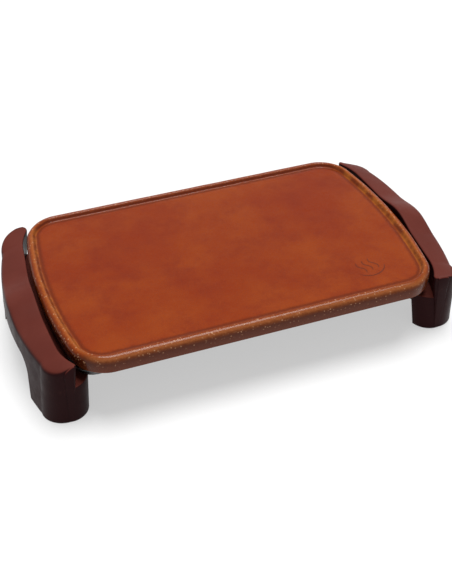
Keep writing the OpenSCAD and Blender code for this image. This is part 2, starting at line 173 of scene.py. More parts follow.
class Nodes:
    """A material under construction: short calls that add and join shader nodes."""

    def __init__(self, name):
        self.material = bpy.data.materials.new(name)
        self.material.use_nodes = True
        self.tree = self.material.node_tree
        self.shader = self.tree.nodes["Principled BSDF"]
        self.place = self.add("ShaderNodeTexCoord").outputs["Object"]

    def add(self, kind):
        return self.tree.nodes.new(kind)

    def feed(self, socket, value):
        if isinstance(value, bpy.types.NodeSocket):
            self.tree.links.new(value, socket)
        elif isinstance(value, tuple) and len(value) == 3 and socket.type == "RGBA":
            socket.default_value = (*value, 1)
        else:
            socket.default_value = value

    def set(self, name, value):
        self.feed(self.shader.inputs[name], value)

    def noise(self, scale, detail=3.0, roughness=0.55, stretch=None):
        """Noise from 0 to 1; scale is in waves per metre."""
        node = self.add("ShaderNodeTexNoise")
        node.inputs["Scale"].default_value = scale
        node.inputs["Detail"].default_value = detail
        node.inputs["Roughness"].default_value = roughness
        place = self.place
        if stretch:
            mapping = self.add("ShaderNodeMapping")
            mapping.inputs["Scale"].default_value = stretch
            self.feed(mapping.inputs["Vector"], place)
            place = mapping.outputs["Vector"]
        self.feed(node.inputs["Vector"], place)
        return node.outputs["Fac"]

    def cells(self, scale):
        """Distance from the nearest of many scattered points."""
        node = self.add("ShaderNodeTexVoronoi")
        node.inputs["Scale"].default_value = scale
        self.feed(node.inputs["Vector"], self.place)
        return node.outputs["Distance"]

    def axis(self, index):
        split = self.add("ShaderNodeSeparateXYZ")
        self.feed(split.inputs[0], self.place)
        return split.outputs[index]

    def facing_up(self):
        """1 where the surface faces up, 0 on a wall."""
        node = self.add("ShaderNodeTexCoord")
        split = self.add("ShaderNodeSeparateXYZ")
        self.feed(split.inputs[0], node.outputs["Normal"])
        return split.outputs[2]

    def attribute(self, name):
        node = self.add("ShaderNodeAttribute")
        node.attribute_name = name
        return node.outputs["Fac"]

    def math(self, operation, a, b=0.0):
        node = self.add("ShaderNodeMath")
        node.operation = operation
        self.feed(node.inputs[0], a)
        self.feed(node.inputs[1], b)
        return node.outputs[0]

    def span(self, value, low, high, to_low=0.0, to_high=1.0):
        """Value from low..high turned into to_low..to_high, and held there outside."""
        node = self.add("ShaderNodeMapRange")
        node.interpolation_type = "SMOOTHSTEP"
        node.inputs["From Min"].default_value = low
        node.inputs["From Max"].default_value = high
        node.inputs["To Min"].default_value = to_low
        node.inputs["To Max"].default_value = to_high
        self.feed(node.inputs["Value"], value)
        return node.outputs["Result"]

    def mix(self, share, a, b):
        node = self.add("ShaderNodeMix")
        node.data_type = "RGBA"
        self.feed(node.inputs["Factor"], share)
        self.feed(node.inputs["A"], a)
        self.feed(node.inputs["B"], b)
        return node.outputs["Result"]

    def ramp(self, value, stops):
        """Colour by value; stops are (position, colour)."""
        node = self.add("ShaderNodeValToRGB")
        ramp = node.color_ramp
        while len(ramp.elements) < len(stops):
            ramp.elements.new(0.5)
        for element, (position, colour) in zip(ramp.elements, stops):
            element.position = position
            element.color = (*colour, 1)
        self.feed(node.inputs["Fac"], value)
        return node.outputs["Color"]

    def bump(self, height, depth_mm, normal=None):
        node = self.add("ShaderNodeBump")
        node.inputs["Strength"].default_value = 1.0
        node.inputs["Distance"].default_value = depth_mm * MM
        self.feed(node.inputs["Height"], height)
        if normal is not None:
            self.feed(node.inputs["Normal"], normal)
        return node.outputs["Normal"]

    def soft_edges(self, radius_mm):
        node = self.add("ShaderNodeBevel")
        node.samples = 4
        node.inputs["Radius"].default_value = radius_mm * MM
        return node.outputs["Normal"]


def srgb(red, green, blue):
    """Linear colour of a display colour given from 0 to 255."""
    channels = []
    for value in (red, green, blue):
        v = value / 255
        channels.append(v / 12.92 if v <= 0.04045 else ((v + 0.055) / 1.055) ** 2.4)
    return tuple(channels)


def lit(red, green, blue):
    """Base colour that shows as this display colour on a level surface in the studio light."""
    return tuple(value / STUDIO_LIGHT for value in srgb(red, green, blue))


def paint(shape, material):
    shape.data.materials.clear()
    shape.data.materials.append(material)


# ---- cooking plate ----

plate_low, plate_high = box_mm("griddle_plate")
PLATE_HALF_L = plate_high.x
PLATE_HALF_W = plate_high.y
CREST_Z = plate_high.z
RING_LOW_Z = plate_low.z
PLATE_CORNER_R = 38.0
PLATE_BOW = 18.0
RING_H = 2.6
UNDER_Z = RING_LOW_Z + RING_H
WALL_H = 13.5
RIM_H = CREST_Z - UNDER_Z - WALL_H
CREST_INSET = 7.5
FLOOR_INSET = 13.0
FLOOR_Z = CREST_Z - 4.0
DRAFT = 1.5
RING_HALF = (209.0, 126.0)
RING_CORNER_R = 24.0
RING_W = 6.0
WALL_FOOT_R = 2.0                  # rounding between the underside and the wall
UNDER_INSET = 30.0                 # inside this inset the underside is one flat face
FLOOR_DIP = 0.5                    # a shallow groove runs where the slope meets the floor
WOBBLE = 0.25                      # how far the hand-finished rim strays from its line

# Stations of the attribute "zone" across the plate's section
ZONE_UNDER = 0.0
ZONE_WALL_FOOT = 0.15
ZONE_WALL_TOP = 0.35
ZONE_CREST = 0.55
ZONE_SLOPE_FOOT = 0.75
ZONE_FLOOR = 0.85


def bowed(point):
    """The short sides are parabolas: each x shrinks with the square of y."""
    x, y = point
    return (x * (1 - PLATE_BOW / PLATE_HALF_L * (y / PLATE_HALF_W) ** 2), y)


def plate_outline(inset):
    half_l, half_w = PLATE_HALF_L - inset, PLATE_HALF_W - inset
    r = max(PLATE_CORNER_R - inset, 3.0)
    arc_steps, side_steps, front_steps = 20, 40, 60
    flat = corner_arc(half_l - r, half_w - r, r, 0, arc_steps)
    flat += between((half_l - r, half_w), (r - half_l, half_w), front_steps)
    flat += corner_arc(r - half_l, half_w - r, r, 90, arc_steps)
    flat += between((-half_l, half_w - r), (-half_l, r - half_w), side_steps)
    flat += corner_arc(r - half_l, r - half_w, r, 180, arc_steps)
    flat += between((r - half_l, -half_w), (half_l - r, -half_w), front_steps)
    flat += corner_arc(half_l - r, r - half_w, r, 270, arc_steps)
    flat += between((half_l, r - half_w), (half_l, half_w - r), side_steps)
    return [bowed(p) for p in flat]


def plate_section():
    """(inset, height, zone) from the middle of the underside, over the rim, to the floor."""
    foot_steps, wall_steps, rim_steps, slope_steps = 5, 5, 14, 12
    section = [(UNDER_INSET, UNDER_Z, ZONE_UNDER)]
    section.append((DRAFT + WALL_FOOT_R + 1.0, UNDER_Z, ZONE_UNDER))
    for k in range(1, foot_steps + 1):
        a = math.radians(90 * k / foot_steps)
        inset = DRAFT + WALL_FOOT_R * (1 - math.sin(a))
        height = UNDER_Z + WALL_FOOT_R * (1 - math.cos(a))
        section.append((inset, height, ZONE_WALL_FOOT * k / foot_steps))
    for k in range(1, wall_steps + 1):
        t = k / wall_steps
        height = UNDER_Z + WALL_FOOT_R + (WALL_H - WALL_FOOT_R) * t
        zone = ZONE_WALL_FOOT + (ZONE_WALL_TOP - ZONE_WALL_FOOT) * t
        section.append((DRAFT * (1 - t) ** 1.5, height, zone))
    for k in range(1, rim_steps + 1):
        a = math.radians(90 * k / rim_steps)
        height = UNDER_Z + WALL_H + RIM_H * math.sin(a)
        zone = ZONE_WALL_TOP + (ZONE_CREST - ZONE_WALL_TOP) * k / rim_steps
        section.append((CREST_INSET * (1 - math.cos(a)), height, zone))
    drop = CREST_Z - FLOOR_Z
    for k in range(1, slope_steps + 1):
        t = k / slope_steps
        inset = CREST_INSET + (FLOOR_INSET - CREST_INSET) * t
        height = FLOOR_Z + drop * (1 + math.cos(math.pi * t)) / 2
        height -= FLOOR_DIP * math.sin(math.pi * t / 2) ** 6
        section.append((inset, height, ZONE_CREST + (ZONE_SLOPE_FOOT - ZONE_CREST) * t))
    section.append((FLOOR_INSET + 1.2, FLOOR_Z - FLOOR_DIP / 2, ZONE_SLOPE_FOOT + 0.05))
    section.append((FLOOR_INSET + 3.0, FLOOR_Z, ZONE_FLOOR))
    section.append((FLOOR_INSET + 10.0, FLOOR_Z, 1.0))
    return section


def plate_ring(inset, z, zone):
    """One ring of the plate, with the slight unevenness of a hand-finished rim."""
    ring = []
    uneven = WOBBLE if ZONE_WALL_FOOT < zone < ZONE_FLOOR else 0.0
    for x, y in plate_outline(inset):
        stray = noise.noise(Vector((x * 0.03, y * 0.03, 1.7))) * uneven
        lift = (noise.noise(Vector((x * 0.025, y * 0.025, 9.1))) - 0.4) * uneven
        shrink = 1 - (abs(stray) + 0.02) / PLATE_HALF_W
        ring.append((x * shrink, y * shrink, min(z + lift, CREST_Z)))
    return ring


def foot_ring_mesh():
    """The raised ring under the plate: outer wall, rounded foot, inner wall."""
    rings = []
    profile = [(0, UNDER_Z + 0.5), (0, RING_LOW_Z + 1), (0.4, RING_LOW_Z + 0.3), (1.2, RING_LOW_Z)]
    profile += [(RING_W - inset, z) for inset, z in reversed(profile)]
    for inset, z in profile:
        half_l, half_w = RING_HALF[0] - inset, RING_HALF[1] - inset
        r = RING_CORNER_R - inset
        outline = corner_arc(half_l - r, half_w - r, r, 0, 12)
        outline += corner_arc(r - half_l, half_w - r, r, 90, 12)
        outline += corner_arc(r - half_l, r - half_w, r, 180, 12)
        outline += corner_arc(half_l - r, r - half_w, r, 270, 12)
        rings.append([(x, y, z) for x, y in outline])
    return lofted("foot_ring", rings, close_ends=False)


def set_zone(shape, values):
    attribute = shape.data.attributes.new("zone", "FLOAT", "POINT")
    attribute.data.foreach_set("value", values)


def build_plate():
    section = plate_section()
    rings = [plate_ring(*point) for point in section]
    plate = lofted("glazed_plate", rings)
    ring = foot_ring_mesh()
    ring_points = len(ring.data.vertices)
    joined(plate, [ring])
    zones = [point[2] for point in section for _ in rings[0]] + [0.0] * ring_points
    set_zone(plate, zones)
    smooth(plate, 40)
    return plate


# The incised ornament: three rising wisps of steam over a shallow dish
ORNAMENT_AT = (152.0, -104.0)
ORNAMENT_TURN = 14                 # degrees
ORNAMENT_LINE_W = 1.5
ORNAMENT_PROUD = 0.06              # the line is a ribbon this far above the plate's floor
WISP_SPACING = 9.0
WISP_H = 22.0
WISP_SWAY = 2.2
DISH_R = 21.0


def wisp(dx):
    """A gently waving upright stroke, dx to the side of the ornament's middle."""
    points = []
    for k in range(25):
        t = k / 24
        points.append((dx + WISP_SWAY * math.sin(2 * math.pi * t), 2 + WISP_H * t))
    return points


def dish_line():
    """A shallow arc, open upwards."""
    points = []
    for k in range(25):
        a = math.radians(-150 + 120 * k / 24)
        points.append((DISH_R * math.cos(a), 14 + DISH_R * math.sin(a)))
    return points


def stroke(points, width, z):
    """A flat ribbon along plan points that thins towards both ends."""
    vertices, faces = [], []
    count = len(points)
    for k, (x, y) in enumerate(points):
        before = points[max(k - 1, 0)]
        after = points[min(k + 1, count - 1)]
        along = Vector((after[0] - before[0], after[1] - before[1])).normalized()
        half = width / 2 * (0.35 + 0.65 * math.sin(math.pi * k / (count - 1)) ** 0.5)
        for side in (-1, 1):
            vertices.append(Vector((x - side * along.y * half, y + side * along.x * half, z)) * MM)
    for k in range(count - 1):
        low = 2 * k
        faces.append((low, low + 2, low + 3, low + 1))
    return vertices, faces


def build_ornament():
    turn = Matrix.Rotation(math.radians(ORNAMENT_TURN), 2)
    vertices, faces = [], []
    strokes = [wisp(k * WISP_SPACING) for k in (-1, 0, 1)]
    strokes.append(dish_line())
    height = FLOOR_Z + ORNAMENT_PROUD
    for points in strokes:
        placed = [turn @ Vector(p) + Vector(ORNAMENT_AT) for p in points]
        more, more_faces = stroke([tuple(p) for p in placed], ORNAMENT_LINE_W, height)
        faces += [tuple(i + len(vertices) for i in face) for face in more_faces]
        vertices += more
    mesh = bpy.data.meshes.new("steam_ornament")
    mesh.from_pydata(vertices, [], faces)
    shape = bpy.data.objects.new("steam_ornament", mesh)
    bpy.context.scene.collection.objects.link(shape)
    outward(shape)
    if shape.data.polygons[0].normal.z < 0:
        shape.data.flip_normals()
    return shape


# ---- moulded ends ----

shell_low, shell_high = box_mm("right_end_shell")
cover_low, cover_high = box_mm("right_grip_cover")
SHELL_FOOT_Z = shell_low.z
END_X = 267.0
END_R = 413.0
END_LEAN = 0.065
HANDLE_HALF_L = shell_high.y
OUTER_EDGE_Z = 76.0
INNER_EDGE_Z = 85.0
TIP_RISE = 9.0
INNER_RISE = 2.0
FRONT_REACH = 6.0                  # the raised tip reaches this much further than the other
FAR_RISE = {1: 5.0, -1: 0.0}       # the right-hand end's other half stands a little higher
FAR_PULL = {1: 4.5, -1: 0.0}       # and its inner edge leans over to the plate as well
HUMP_H = 7.0
HUMP_L = 100.0
SHELL_WALL = 3.0
INNER_MID_X = 234.5
INNER_R = 1250.0
HOOK = 11.0
HOOK_Y = 100.0
HOOK_L = 36.0
INNER_PULL = 4.2                   # how far the raised half's inner edge leans over to the plate
PULL_L = 105.0
TIP_L = 26.0
TIP_X = 232.0
TIP_ROUND = 1.8
BASE_INNER_X = 226.0
SHOULDER = 3.0
TOP_CROWN = 1.0
INNER_EDGE_R = 3.0
OUTER_EDGE_R = 4.5
LEDGE_Z = 51.6
LEDGE_T = 3.6
LEDGE_IN_X = 200.0
LEDGE_HALF_L = 112.0
ARCH_HALF_W = 77.0
ARCH_LEAN = 4.0
ARCH_R = 22.0
ARCH_Z = cover_low.z
NOSE_AT = (228.0, 106.0)
NOSE_FOOT_R = 26.2
NOSE_TOP_R = 29.3
NOSE_OUT = 0.9                     # a nose is narrower across than along the end: outwards,
NOSE_IN_FOOT = 0.9                 # inwards at the foot,
NOSE_IN_TOP = {1: 0.92, -1: 1.04}  # and inwards at the ledge, by side of the end
NOSE_ROUND = 1.2
WEB = ((206.0, 114.0), (242.0, 84.0))   # plan points of the web that closes a nose
CUT_PAST = 2.0                     # how far a cutting shape runs past the moulding's foot
POST_SIDES = 28
POSTS = (                          # plan place, radius, lowest and highest point
    (207.0, 104.0, 4.5, 33.6, 49.0),          # takes a screw from the pan
    (241.0, 102.0, 5.0, 3.0, 74.0),           # stands on a rubber foot
    (251.0, 55.0, 4.5, cover_high.z, 76.0),   # takes a screw of the grip cover
)

TOP_ARC = (HANDLE_HALF_L - TIP_ROUND - TIP_L, TIP_L)
BASE_ARC = (106.0, TIP_L)
BASE_X = END_X + END_LEAN * OUTER_EDGE_Z


def station_y(u, arc):
    """Y of station u: -1 to 1 along the handle, and on to -2 and 2 round its tips."""
    if abs(u) <= 1:
        return u * arc[0]
    reach = arc[1] + (FRONT_REACH if u < 0 and arc is TOP_ARC else 0.0)
    return math.copysign(arc[0] + reach * math.sin(math.radians(90 * (abs(u) - 1))), u)


def outer_x(u, mid_x, arc):
    """X of the outer side at station u, bowed along the handle and curled round the tips."""
    end = mid_x - arc[0] ** 2 / (2 * END_R)
    if abs(u) <= 1:
        return mid_x - (u * arc[0]) ** 2 / (2 * END_R)
    return TIP_X + (end - TIP_X) * math.cos(math.radians(90 * (abs(u) - 1)))


def curve_x(y):
    """X of the inner side, a shallow arc that follows the plate's short side."""
    return INNER_MID_X - y * y / (2 * INNER_R)


def inner_x(y, side):
    """X of the top's inner edge, which leans over and hooks round the plate's corners."""
    most = INNER_PULL if y < 0 else FAR_PULL[side]
    pull = most * (0.5 - 0.5 * math.cos(math.pi * min(1.0, abs(y) / PULL_L)))
    hooked = min(1.0, max(0.0, (abs(y) - HOOK_Y) / HOOK_L)) ** 2
    return curve_x(y) - pull * (1 - 0.5 * hooked) - HOOK * hooked


def hump(y):
    """Height of the thumb rise in the middle of the handle."""
    if abs(y) >= HUMP_L / 2:
        return 0.0
    return HUMP_H * (1 + math.cos(2 * math.pi * y / HUMP_L)) / 2


def end_corners(u, side):
    """Inner foot, inner edge, outer edge and outer foot of the moulding's section at station u."""
    top_y, base_y = station_y(u, TOP_ARC), station_y(u, BASE_ARC)
    tip, front_tip = max(0.0, abs(u) - 1), max(0.0, -u - 1)
    curl = (BASE_INNER_X - curve_x(sum(BASE_ARC))) * tip
    shoulder = SHOULDER * max(0.0, (tip - 0.6) / 0.4) ** 2
    far = 0.5 - 0.5 * math.cos(math.pi * max(0.0, min(1.0, top_y / TOP_ARC[0])))
    lift = hump(top_y) + FAR_RISE[side] * far
    return (
        Vector((curve_x(base_y) + curl, base_y, SHELL_FOOT_Z)),
        Vector((inner_x(top_y, side) + shoulder, top_y, INNER_EDGE_Z + INNER_RISE * front_tip + lift)),
        Vector((outer_x(u, END_X, TOP_ARC), top_y, OUTER_EDGE_Z + TIP_RISE * front_tip + lift)),
        Vector((outer_x(u, BASE_X, BASE_ARC), base_y, SHELL_FOOT_Z)),
    )


def end_section(u, side):
    """The outside of the moulding at station u: a crowned top between two rounded edges."""
    inner_foot, inner_edge, outer_edge, outer_foot = end_corners(u, side)
    width = (outer_edge - inner_edge).length
    inner_r = min(INNER_EDGE_R, width * 0.3)
    outer_r = min(OUTER_EDGE_R, width * 0.4)
    wall_steps, top_steps, round_steps = 6, 10, 6
    points = []
    inner_round = rounded_corner(inner_foot, inner_edge, outer_edge, inner_r, round_steps)
    outer_round = rounded_corner(inner_edge, outer_edge, outer_foot, outer_r, round_steps)
    for k in range(wall_steps):
        points.append(inner_foot.lerp(inner_round[0], k / wall_steps))
    points += inner_round
    for k in range(1, top_steps):
        points.append(inner_round[-1].lerp(outer_round[0], k / top_steps))
    points += outer_round
    for k in range(1, wall_steps + 1):
        points.append(outer_round[-1].lerp(outer_foot, k / wall_steps))
    for point in points[wall_steps:-wall_steps]:
        share = max(0.0, min(1.0, (point.x - inner_edge.x) / max(outer_edge.x - inner_edge.x, 1.0)))
        point.z += TOP_CROWN * 4 * share * (1 - share)
    return points


def tip_rounding(section, side):
    """Rings that round the tip's end over, from the last section outwards."""
    rings = []
    middle = sum(section, Vector()) / len(section)
    for k in range(1, 6):
        a = math.radians(90 * k / 5)
        ring = []
        for point in section:
            above = max(0.0, min(1.0, (point.z - SHELL_FOOT_Z) / 60))
            inwards = middle - point
            inwards.y = 0
            step = inwards.normalized() * TIP_ROUND * (1 - math.cos(a)) * above
            ring.append(point + step + Vector((0, side * TIP_ROUND * math.sin(a) * above, 0)))
        rings.append(ring)
    return rings


def outer_skin(side):
    """The moulding's outside as one closed shape."""
    stations = [-2 + k / 24 for k in range(25)]
    stations += [-1 + k / 40 for k in range(1, 80)]
    stations += [1 + k / 24 for k in range(25)]
    sections = [end_section(u, side) for u in stations]
    first = list(reversed(tip_rounding(sections[0], -1)))
    last = tip_rounding(sections[-1], 1)
    return lofted("skin", first + sections + last)


def hollow(end_side):
    """What the moulding's wall leaves free, open at the foot."""
    stations = [-2 + k / 12 for k in range(13)]
    stations += [-1 + k / 16 for k in range(1, 32)]
    stations += [1 + k / 12 for k in range(13)]
    sections = []
    for u in stations:
        side = 1 if u > 0 else -1
        in_tip = max(0.0, abs(u) - 1)
        back = Vector((0, -side * SHELL_WALL * in_tip, 0))
        inner_foot, inner_edge, outer_edge, outer_foot = end_corners(u, end_side)
        inwards = Vector((SHELL_WALL, 0, 0))
        down = Vector((0, 0, -SHELL_WALL))
        below = Vector((0, 0, -1))
        sections.append([
            inner_foot + inwards + back + below, inner_edge + inwards + back + down,
            outer_edge - inwards + back + down, outer_foot - inwards + back + below])
    return lofted("hollow", sections)


def arch_prism():
    """The opening under the handle, between the legs."""
    cy, cz = ARCH_HALF_W - ARCH_LEAN - ARCH_R, ARCH_Z - ARCH_R
    outline = [(ARCH_HALF_W, -CUT_PAST)]
    outline += corner_arc(cy, cz, ARCH_R, 0, 16)
    outline += corner_arc(-cy, cz, ARCH_R, 90, 16)
    outline.append((-ARCH_HALF_W, -CUT_PAST))
    return lofted("arch", [[(x, y, z) for y, z in outline] for x in (END_X + 20, INNER_MID_X - 40)])


def nose_outline(r, gap, reach_in):
    """Plan of a leg's nose: part of an oval, closed by the web behind it."""
    cx, cy = NOSE_AT
    (web_x, web_y), (end_x, end_y) = WEB
    web_y += gap
    end_y += gap
    start = math.asin(max(-1.0, min(1.0, (end_y - cy) / r)))
    in_reach = r * r - (web_y - cy) ** 2
    finish = math.atan2(web_y - cy, -math.sqrt(in_reach))
    start = max(start, math.atan2(end_y - cy, web_x + 36 - cx))
    points = []
    for k in range(49):
        a = start + (finish - start) * k / 48
        squeeze = reach_in if math.cos(a) < 0 else NOSE_OUT
        points.append((cx + r * squeeze * math.cos(a), cy + r * math.sin(a)))
    points.append((web_x, web_y))
    return points


def nose_reach_in(z, side):
    """The oval's narrowing on the inside at height z, from the foot's to the ledge's."""
    share = min(1.0, (z - SHELL_FOOT_Z) / (LEDGE_Z - SHELL_FOOT_Z))
    return NOSE_IN_FOOT + (NOSE_IN_TOP[side] - NOSE_IN_FOOT) * share


def nose(side):
    """A leg's rounded nose under the ledge, hollow from below."""
    rings = []
    profile = [(0.0, SHELL_FOOT_Z)]
    slope = (NOSE_TOP_R - NOSE_FOOT_R) / (LEDGE_Z - SHELL_FOOT_Z)
    for k in range(1, 9):
        profile.append((0.0, SHELL_FOOT_Z + (LEDGE_Z - NOSE_ROUND - SHELL_FOOT_Z) * k / 8))
    for k in range(1, 6):
        a = math.radians(90 * k / 5)
        profile.append((NOSE_ROUND * (1 - math.cos(a)), LEDGE_Z - NOSE_ROUND * (1 - math.sin(a))))
    for inset, z in profile:
        r = NOSE_FOOT_R + slope * (z - SHELL_FOOT_Z) - inset
        rings.append([(x, side * y, z) for x, y in nose_outline(r, 0, nose_reach_in(z, side))])
    shape = lofted("nose", rings)
    inside = []
    for z in (SHELL_FOOT_Z - 1, LEDGE_Z - LEDGE_T):
        r = NOSE_FOOT_R + slope * (z - SHELL_FOOT_Z) - SHELL_WALL
        outline = nose_outline(r, SHELL_WALL, nose_reach_in(z, side))
        inside.append([(x, side * y, z) for x, y in outline])
    boolean(shape, lofted("nose_hollow", inside), "DIFFERENCE")
    return shape


def ledge():
    """The shelf that carries the pan."""
    outline = [(LEDGE_IN_X, -LEDGE_HALF_L)]
    for k in range(-20, 21):
        y = k * LEDGE_HALF_L / 20
        outline.append((curve_x(y) + 2, y))
    outline.append((LEDGE_IN_X, LEDGE_HALF_L))
    return prism("ledge", outline, LEDGE_Z - LEDGE_T, LEDGE_Z)


def post(x, y, radius, low, high):
    """A screw post: a slightly tapered cylinder with a rounded foot."""
    rings = []
    for inset, z in ((0.8, low), (0.2, low + 0.3), (0.0, low + 0.9), (-0.2, high)):
        ring = []
        for k in range(POST_SIDES):
            a = 2 * math.pi * k / POST_SIDES
            ring.append((x + (radius - inset) * math.cos(a), y + (radius - inset) * math.sin(a), z))
        rings.append(ring)
    return lofted("post", rings)


def build_end(name, side):
    """A moulded end; side is 1 for the right-hand one, and -1 turns it half round."""
    end = outer_skin(side)
    boolean(end, hollow(side), "DIFFERENCE")
    boolean(end, arch_prism(), "DIFFERENCE")
    boolean(end, nose(1), "UNION")
    boolean(end, nose(-1), "UNION")
    boolean(end, ledge(), "UNION")
    for row in (-1, 1):
        for x, y, radius, low, high in POSTS:
            boolean(end, post(x, row * y, radius, low, high), "UNION")
    if side < 0:
        end.data.transform(Matrix.Rotation(math.pi, 4, "Z"))
    end.name = name
    end.data.name = name
    smooth(end, 30)
    return end


# ---- materials ----


def glazed_terracotta():
    m = Nodes("glazed_terracotta")
    zone = m.attribute("zone")
    mottle = m.noise(9, 5, 0.62)
    cloud = m.noise(28, 6, 0.65)
    grain = m.noise(620, 3, 0.7)
    fleck = m.cells(420)
    fine = m.noise(1500, 2, 0.6)
    wander = m.math("MULTIPLY", m.math("SUBTRACT", m.noise(170, 4, 0.7), 0.5), 0.09)
    zone = m.math("ADD", zone, wander)
    floor_colour = m.mix(m.span(mottle, 0.3, 0.7), lit(150, 50, 8), lit(166, 70, 18))
    floor_colour = m.mix(m.span(cloud, 0.42, 0.72, 0, 0.6), floor_colour, lit(136, 40, 8))
    long_side_glaze_and_light = m.ramp(zone, [
        (ZONE_UNDER, lit(168, 96, 62)),
        (ZONE_WALL_FOOT, lit(122, 52, 14)),
        (ZONE_WALL_TOP, lit(104, 42, 10)),
        # Painted highlight, partly: the lighter band over the outer rounding of the long sides is
        # partly a lighter glaze break and partly the light's highlight painted in.
        (ZONE_WALL_TOP + 0.04, lit(122, 58, 22)),
        (ZONE_WALL_TOP + 0.1, lit(170, 98, 52)),
        (ZONE_CREST - 0.05, lit(160, 82, 34)),
        (ZONE_CREST, lit(146, 62, 18)),
        # Painted highlight on the thin line inside the crest and at the slope's foot; painted shade on
        # the inner slope between them, which faces away, and on the line where the slope meets the
        # floor, in the groove there.
        (ZONE_CREST + 0.06, lit(158, 72, 30)),
        (ZONE_CREST + 0.11, lit(104, 34, 8)),
        (ZONE_SLOPE_FOOT, lit(150, 64, 22)),
        (ZONE_FLOOR, lit(104, 36, 8)),
    ])
    short_side_glaze_and_shade = m.ramp(zone, [
        (ZONE_UNDER, lit(168, 96, 62)),
        # Painted shade: the short sides' outer wall is darker than the long sides' to stand for the
        # light falling less on it.
        (ZONE_WALL_FOOT, lit(96, 40, 12)),
        (ZONE_WALL_TOP, lit(78, 26, 6)),
        (ZONE_WALL_TOP + 0.08, lit(108, 42, 10)),
        (ZONE_CREST - 0.06, lit(150, 62, 14)),
        (ZONE_CREST, lit(182, 98, 42)),
        (ZONE_CREST + 0.06, lit(140, 60, 20)),
        (ZONE_CREST + 0.11, lit(118, 44, 10)),
        (ZONE_SLOPE_FOOT, lit(148, 62, 20)),
        # Painted shade on the line where the slope meets the floor, in the groove there.
        (ZONE_FLOOR, lit(112, 38, 8)),
    ])
    on_end = m.span(m.math("ABSOLUTE", m.axis(0)), 0.195, 0.212)
    section = m.mix(on_end, long_side_glaze_and_light, short_side_glaze_and_shade)
    colour = m.mix(m.span(zone, ZONE_FLOOR - 0.05, 0.94), section, floor_colour)
    on_slope = m.math("MULTIPLY", m.span(zone, 0.54, 0.6), m.span(zone, 0.72, 0.8, 1, 0))
    patches = m.span(m.noise(60, 3), 0.35, 0.7)
    honey = m.math("MULTIPLY", m.math("MULTIPLY", on_end, on_slope), patches)
    colour = m.mix(m.math("MULTIPLY", honey, 0.75), colour, lit(196, 112, 34))
    on_rim = m.math("MULTIPLY", m.span(zone, 0.2, 0.36), m.span(zone, 0.56, 0.66, 1, 0))
    glints = m.math("MULTIPLY", m.span(m.cells(250), 0.3, 0.12), m.span(grain, 0.44, 0.52))
    glints = m.math("MULTIPLY", m.math("MULTIPLY", glints, on_rim), 0.85)
    colour = m.mix(glints, colour, lit(236, 180, 136))
    dark_fleck = m.math("MULTIPLY", m.span(fleck, 0.28, 0.12), m.span(grain, 0.46, 0.6))
    colour = m.mix(m.math("MULTIPLY", dark_fleck, 0.45), colour, lit(84, 28, 10))
    colour = m.mix(m.span(fine, 0.6, 0.72, 0.0, 0.22), colour, lit(214, 140, 92))
    colour = m.mix(m.span(grain, 0.4, 0.62, 0.0, 0.25), colour, lit(112, 42, 16))
    m.set("Base Color", colour)
    m.set("Roughness", m.span(m.math("ADD", grain, cloud), 0.7, 1.3, 0.24, 0.4))
    m.set("Specular IOR Level", 0.06)
    m.set("Coat Weight", 0.2)
    m.set("Coat Roughness", 0.14)
    skin = m.bump(m.noise(240, 4, 0.6), 0.22)
    skin = m.bump(fine, 0.05, skin)
    m.set("Normal", skin)
    return m.material


def incised_glaze():
    m = Nodes("incised_glaze")
    grain = m.noise(700, 4, 0.7)
    m.set("Base Color", m.mix(m.span(grain, 0.3, 0.7), lit(88, 30, 10), lit(118, 46, 18)))
    m.set("Roughness", m.span(grain, 0.3, 0.7, 0.35, 0.55))
    m.set("Specular IOR Level", 0.15)
    m.set("Normal", m.bump(grain, 0.1))
    return m.material


def moulded_plastic():
    m = Nodes("moulded_plastic")
    grain = m.noise(2600, 2, 0.6)
    cloud = m.noise(14, 4, 0.6)
    # Painted light and shade: faces that point up take the lighter colour and walls the darker one, as
    # the overhead light would show them.
    top_painted_light = m.mix(m.span(cloud, 0.3, 0.7), lit(106, 50, 42), lit(116, 57, 48))
    wall_painted_shade = m.mix(m.span(cloud, 0.3, 0.7), lit(48, 18, 20), lit(56, 22, 23))
    colour = m.mix(m.span(m.facing_up(), 0.25, 0.85), wall_painted_shade, top_painted_light)
    wear = m.math("MULTIPLY", m.span(m.noise(130, 6, 0.7), 0.56, 0.74), 0.2)
    colour = m.mix(wear, colour, lit(112, 66, 58))
    m.set("Base Color", colour)
    m.set("Roughness", m.span(m.noise(60, 5, 0.65), 0.3, 0.7, 0.34, 0.46))
    m.set("Specular IOR Level", 0.04)
    edges = m.soft_edges(0.9)
    m.set("Normal", m.bump(grain, 0.03, edges))
    return m.material


def enamelled_steel():
    m = Nodes("enamelled_steel")
    cloud = m.noise(20, 5, 0.6)
    spots = m.span(m.cells(500), 0.22, 0.08)
    colour = m.mix(m.span(cloud, 0.3, 0.7), srgb(22, 22, 24), srgb(34, 32, 33))
    colour = m.mix(m.math("MULTIPLY", spots, 0.35), colour, srgb(72, 68, 66))
    m.set("Base Color", colour)
    m.set("Roughness", m.span(m.noise(90, 5), 0.3, 0.7, 0.25, 0.42))
    m.set("Coat Weight", 0.4)
    m.set("Coat Roughness", 0.15)
    m.set("Normal", m.bump(m.noise(350, 3), 0.08, m.soft_edges(0.4)))
    return m.material


def sheet_aluminium():
    m = Nodes("sheet_aluminium")
    lines = m.noise(160, 5, 0.7, (1.0, 22.0, 22.0))
    tint = m.noise(16, 4)
    colour = m.mix(m.span(tint, 0.35, 0.75), srgb(196, 196, 198), srgb(178, 164, 140))
    m.set("Base Color", colour)
    m.set("Metallic", 1.0)
    m.set("Roughness", m.span(lines, 0.3, 0.7, 0.22, 0.42))
    m.set("Normal", m.bump(lines, 0.04))
    return m.material


